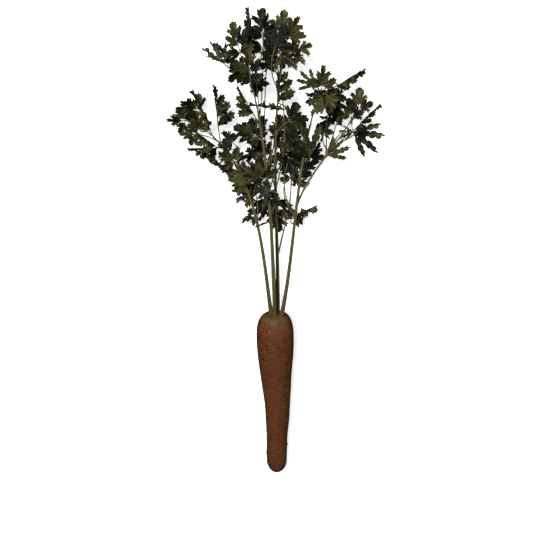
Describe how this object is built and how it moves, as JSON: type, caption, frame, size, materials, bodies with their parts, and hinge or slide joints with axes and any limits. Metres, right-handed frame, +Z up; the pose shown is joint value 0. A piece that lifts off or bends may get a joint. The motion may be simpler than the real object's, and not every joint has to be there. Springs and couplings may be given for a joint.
{
  "type": "carrot with leafy top",
  "caption": "Whole carrot root lying on its side, with slender stalks and a spray of lobed green leaves still on its crown.",
  "frame": {"origin": "on the flattened underside of the root, at its middle, on the surface it rests on", "axes": "+Y from the root's tip towards the leaves, +Z up away from the surface, +X to the right seen from above with the leaves away from the viewer"},
  "size_m": [0.188, 0.4548, 0.0552],
  "materials": {
    "root_skin": "matt, creased skin",
    "stalk_green": "satin, ribbed lengthwise",
    "leaf_green": "matt with a faint sheen"
  },
  "bodies": {
    "root": {"taproot": "root_skin", "left_stalk": "stalk_green", "tall_left_stalk": "stalk_green", "tall_right_stalk": "stalk_green", "right_stalk": "stalk_green", "low_stalk": "stalk_green", "far_right_stalk": "stalk_green", "left_leaf_1": "leaf_green", "left_leaf_2": "leaf_green", "left_leaf_3": "leaf_green", "left_leaf_4": "leaf_green", "left_leaf_5": "leaf_green", "left_leaf_6": "leaf_green", "left_leaf_7": "leaf_green", "left_leaf_8": "leaf_green", "left_leaf_9": "leaf_green", "left_leaf_10": "leaf_green", "left_leaf_11": "leaf_green", "left_leaf_12": "leaf_green", "tall_left_leaf_1": "leaf_green", "tall_left_leaf_2": "leaf_green", "tall_left_leaf_3": "leaf_green", "tall_left_leaf_4": "leaf_green", "tall_left_leaf_5": "leaf_green", "tall_left_leaf_6": "leaf_green", "tall_left_leaf_7": "leaf_green", "tall_left_leaf_8": "leaf_green", "tall_left_leaf_9": "leaf_green", "tall_left_leaf_10": "leaf_green", "tall_left_leaf_11": "leaf_green", "tall_left_leaf_12": "leaf_green", "tall_left_leaf_13": "leaf_green", "tall_left_leaf_14": "leaf_green", "tall_right_leaf_1": "leaf_green", "tall_right_leaf_2": "leaf_green", "tall_right_leaf_3": "leaf_green", "tall_right_leaf_4": "leaf_green", "tall_right_leaf_5": "leaf_green", "tall_right_leaf_6": "leaf_green", "tall_right_leaf_7": "leaf_green", "tall_right_leaf_8": "leaf_green", "tall_right_leaf_9": "leaf_green", "low_leaf_1": "leaf_green", "low_leaf_2": "leaf_green", "low_leaf_3": "leaf_green", "right_leaf_1": "leaf_green", "right_leaf_2": "leaf_green", "right_leaf_3": "leaf_green", "right_leaf_4": "leaf_green", "right_leaf_5": "leaf_green", "right_leaf_6": "leaf_green", "right_leaf_7": "leaf_green", "right_leaf_8": "leaf_green", "right_leaf_9": "leaf_green", "far_right_leaf_1": "leaf_green", "far_right_leaf_2": "leaf_green", "far_right_leaf_3": "leaf_green", "far_right_leaf_4": "leaf_green", "far_right_leaf_5": "leaf_green", "far_right_leaf_6": "leaf_green"}
  },
  "joints": []
}
